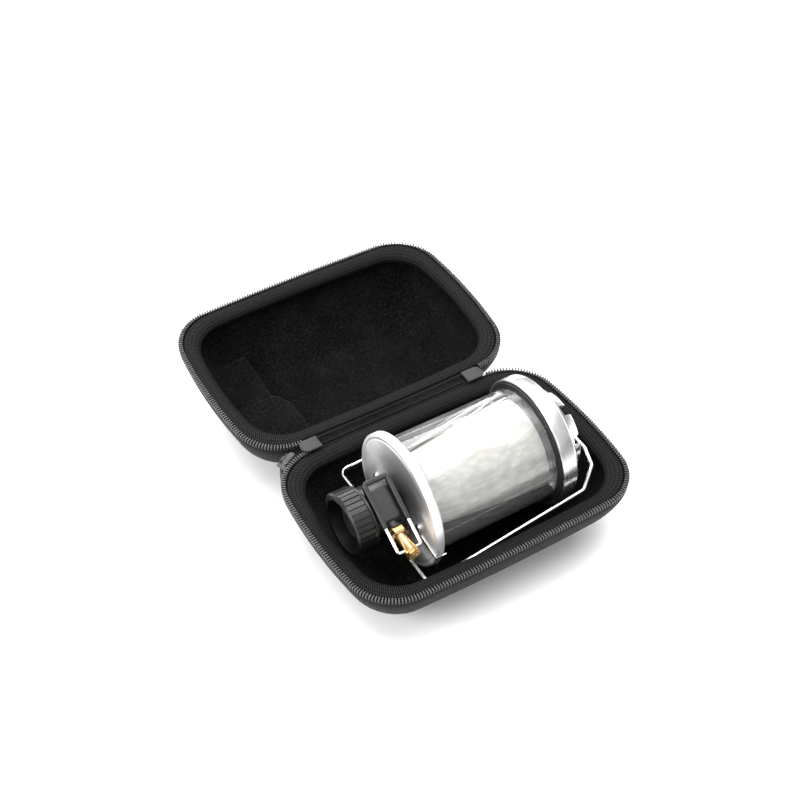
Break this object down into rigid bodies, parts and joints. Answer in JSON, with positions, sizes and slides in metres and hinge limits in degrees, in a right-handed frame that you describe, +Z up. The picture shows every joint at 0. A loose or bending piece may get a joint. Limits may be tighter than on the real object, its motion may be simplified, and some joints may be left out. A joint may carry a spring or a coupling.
{
  "type": "gas camping lantern in a hard case",
  "caption": "Small gas camping lantern with a glass globe, lying in its open zip-up hard case; the case closes over it.",
  "frame": {"origin": "on the table under the middle of the open case, below the zip hinge", "axes": "+Z up; X along the hinge and the lantern's axis, the hood towards +X; the base with the lantern lies towards -Y and the open lid towards +Y"},
  "size_m": [0.152, 0.2105, 0.0715],
  "materials": {
    "case_fabric": "matt woven cloth over moulded foam",
    "lining_velour": "short pile velour",
    "ribbed_tape": "ribbed woven tape",
    "zip_nylon": "semi-gloss nylon coil",
    "patch_rubber": "matt grey moulded",
    "slider_metal": "satin black coated",
    "black_plastic": "satin moulded",
    "dark_metal": "turned, dark",
    "brass": "turned",
    "seal_rubber": "matt",
    "burner_steel": "turned",
    "polished_aluminium": "polished",
    "satin_aluminium": "satin, spun",
    "steel_wire": "bright",
    "clear_glass": "clear",
    "white_foam": "closed-cell foam sheet, faintly dimpled"
  },
  "bodies": {
    "case_base": {"base_shell": "case_fabric", "base_lining": "lining_velour", "base_rim_tape": "ribbed_tape", "base_zip_teeth": "zip_nylon", "hinge_strip": "ribbed_tape", "hinge_patch_left": "patch_rubber", "hinge_patch_right": "patch_rubber", "zip_slider": "slider_metal"},
    "case_lid": {"lid_shell": "case_fabric", "lid_lining": "lining_velour", "lid_rim_tape": "ribbed_tape", "lid_zip_teeth": "zip_nylon", "lid_pad": "lining_velour"},
    "lantern": {"collar": "black_plastic", "collar_flange": "black_plastic", "thread_insert": "dark_metal", "inlet_seal": "seal_rubber", "inlet_pin": "brass", "valve_body": "black_plastic", "packing_nut": "brass", "burner_neck": "polished_aluminium", "gas_jet": "brass", "mixing_tube": "brass", "burner_head": "burner_steel", "base_plate": "polished_aluminium", "plate_rivets": "steel_wire", "plate_clip": "steel_wire", "lower_gasket": "seal_rubber", "upper_gasket": "seal_rubber", "glass": "clear_glass", "hood_ring": "satin_aluminium", "hood_crown": "satin_aluminium", "hood_baffle": "satin_aluminium", "stay_rods": "steel_wire", "mantle_rod": "steel_wire", "foam_sleeve": "white_foam"},
    "spindle": {"valve_spindle": "brass"},
    "handle": {"handle_wire": "steel_wire", "handle_grip": "black_plastic"},
    "bail": {"bail_wire": "steel_wire"},
    "pull": {"zip_pull": "slider_metal"}
  },
  "joints": [
    {"name": "lid_hinge", "type": "hinge", "parent": "case_base", "child": "case_lid", "pos_m": [0, 0, 0.0373], "axis": [-1, 0, 0], "range_deg": [-176.4, 0], "deforming": ["hinge_strip", "hinge_patch_left", "hinge_patch_right"]},
    {"name": "lantern_lift", "type": "slide", "parent": "case_base", "child": "lantern", "axis": [0, 0, 1], "range_m": [0, 0.13]},
    {"name": "valve_turn", "type": "hinge", "parent": "lantern", "child": "spindle", "pos_m": [-0.0419, -0.0535, 0.0384], "axis": [0, -1, 0], "range_deg": [-4.5, 2]},
    {"name": "handle_fold", "type": "hinge", "parent": "spindle", "child": "handle", "pos_m": [-0.0419, -0.0805, 0.0384], "axis": [1, 0, 0], "range_deg": [0, 140]},
    {"name": "bail_swing", "type": "hinge", "parent": "lantern", "child": "bail", "pos_m": [-0.04, -0.0535, 0.0265], "axis": [0, -1, 0], "range_deg": [0, 90]},
    {"name": "pull_swing", "type": "hinge", "parent": "case_base", "child": "pull", "pos_m": [-0.06219, 0.00028, 0.0336], "axis": [0.8829, 0.4695, 0], "range_deg": [0, 30]}
  ]
}
